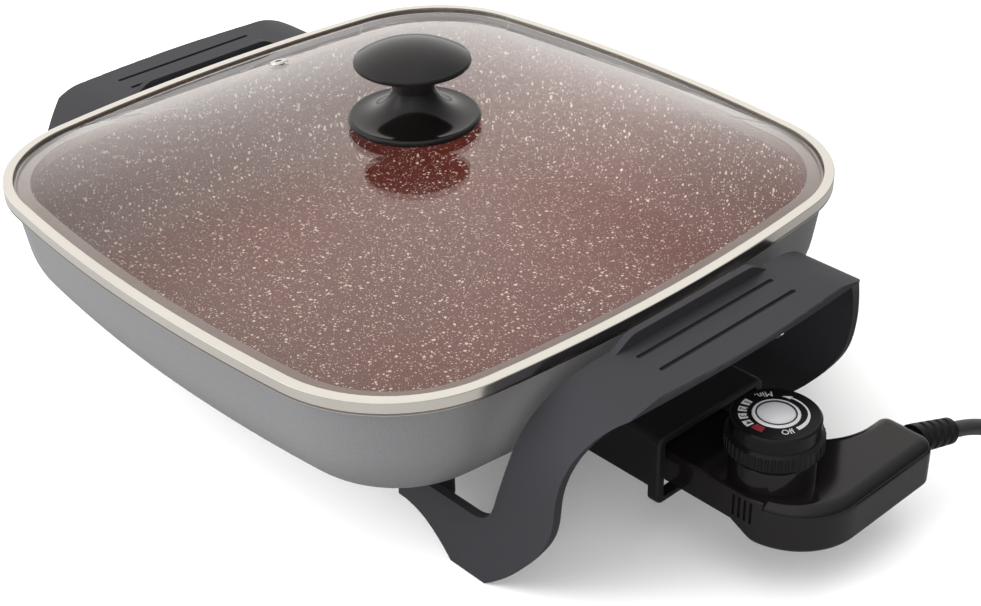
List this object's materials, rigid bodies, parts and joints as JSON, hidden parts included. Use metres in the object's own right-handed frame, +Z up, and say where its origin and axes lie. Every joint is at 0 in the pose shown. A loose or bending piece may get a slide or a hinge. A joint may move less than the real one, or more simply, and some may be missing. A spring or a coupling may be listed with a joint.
{
  "type": "electric skillet",
  "caption": "Square electric skillet with a speckled red non-stick pan, glass lid with steel rim, two grips with feet, and a plug-in temperature control with its cord",
  "frame": {"origin": "On the table, at the middle of the length from the far grip to the control and at the middle of the depth; the cord, its coil and the plug are not counted", "axes": "+Z up from the table, +X from the plain grip towards the control side, +Y along the grips"},
  "size_m": [0.5444, 0.3877, 0.1625],
  "materials": {
    "cast_shell": "satin metallic grey coating on cast aluminium, red speckled non-stick inside",
    "element_steel": "dull sheathed heating tube",
    "terminal_steel": "bright plain steel",
    "ceramic": "glazed off-white insulator",
    "handle_plastic": "fine matte charcoal phenolic",
    "guard_plastic": "smooth black phenolic",
    "lid_glass": "clear tempered glass",
    "rim_steel": "bright rolled stainless steel",
    "knob_plastic": "polished black phenolic",
    "seal_rubber": "dull black silicone",
    "brass": "plain turned brass",
    "casing_plastic": "glossy brown-black moulding",
    "dial_plastic": "satin black moulding",
    "dial_print": "black disc with white printed marks",
    "bezel_metal": "silver plated ring",
    "lens_plastic": "milky clear lens",
    "spring_copper": "copper alloy strip",
    "cord_rubber": "flexible black sheath"
  },
  "bodies": {
    "pan": {"pan_body": "cast_shell", "heating_element": "element_steel", "terminal_pins": "terminal_steel", "terminal_collars": "ceramic", "right_handle": "handle_plastic", "left_handle": "handle_plastic", "handle_screws": "terminal_steel", "handle_washers": "terminal_steel", "probe_guard": "guard_plastic", "guard_screws": "terminal_steel"},
    "lid": {"lid_glass": "lid_glass", "lid_rim": "rim_steel", "vent_eyelet": "rim_steel", "knob_gasket": "seal_rubber", "knob_base": "knob_plastic", "knob_cap": "knob_plastic", "knob_insert": "brass", "knob_washer": "terminal_steel", "knob_screw": "terminal_steel"},
    "control": {"casing_top": "casing_plastic", "casing_bottom": "casing_plastic", "casing_screws": "terminal_steel", "sensor_tube": "terminal_steel", "expansion_rod": "element_steel", "contact_sleeves": "brass", "terminal_block": "ceramic", "thermostat_frame": "terminal_steel", "blade_stack": "ceramic", "fixed_blade": "spring_copper", "moving_blade": "spring_copper", "contact_rivets": "terminal_steel", "spindle_bush": "brass", "pilot_lamp": "lens_plastic", "lamp_resistor": "ceramic", "lead_wires": "cord_rubber", "cord_boot": "cord_rubber", "cord": "cord_rubber", "cord_coil": "cord_rubber", "plug_body": "cord_rubber", "plug_pins": "brass"},
    "dial": {"dial_knob": "dial_plastic", "dial_disc": "dial_print", "dial_bezel": "bezel_metal", "dial_lens": "lens_plastic", "dial_spindle": "terminal_steel"},
    "feeler": {"plunger": "ceramic"}
  },
  "joints": [
    {"name": "lid_lift", "type": "slide", "parent": "pan", "child": "lid", "axis": [0, 0, 1], "range_m": [0, 0.12]},
    {"name": "control_pull", "type": "slide", "parent": "pan", "child": "control", "axis": [1, 0, 0], "range_m": [0, 0.1]},
    {"name": "dial_turn", "type": "hinge", "parent": "control", "child": "dial", "pos_m": [0.18475, 0, 0.065], "axis": [0, 0, 1], "range_deg": [0, 270]},
    {"name": "plunger_feed", "type": "slide", "parent": "control", "child": "feeler", "axis": [0, 0, -1], "range_m": [0, 0.0012]}
  ],
  "couplings": [
    {"joint": "plunger_feed", "follows": "dial_turn", "m_per_rad": 0.00025465}
  ]
}
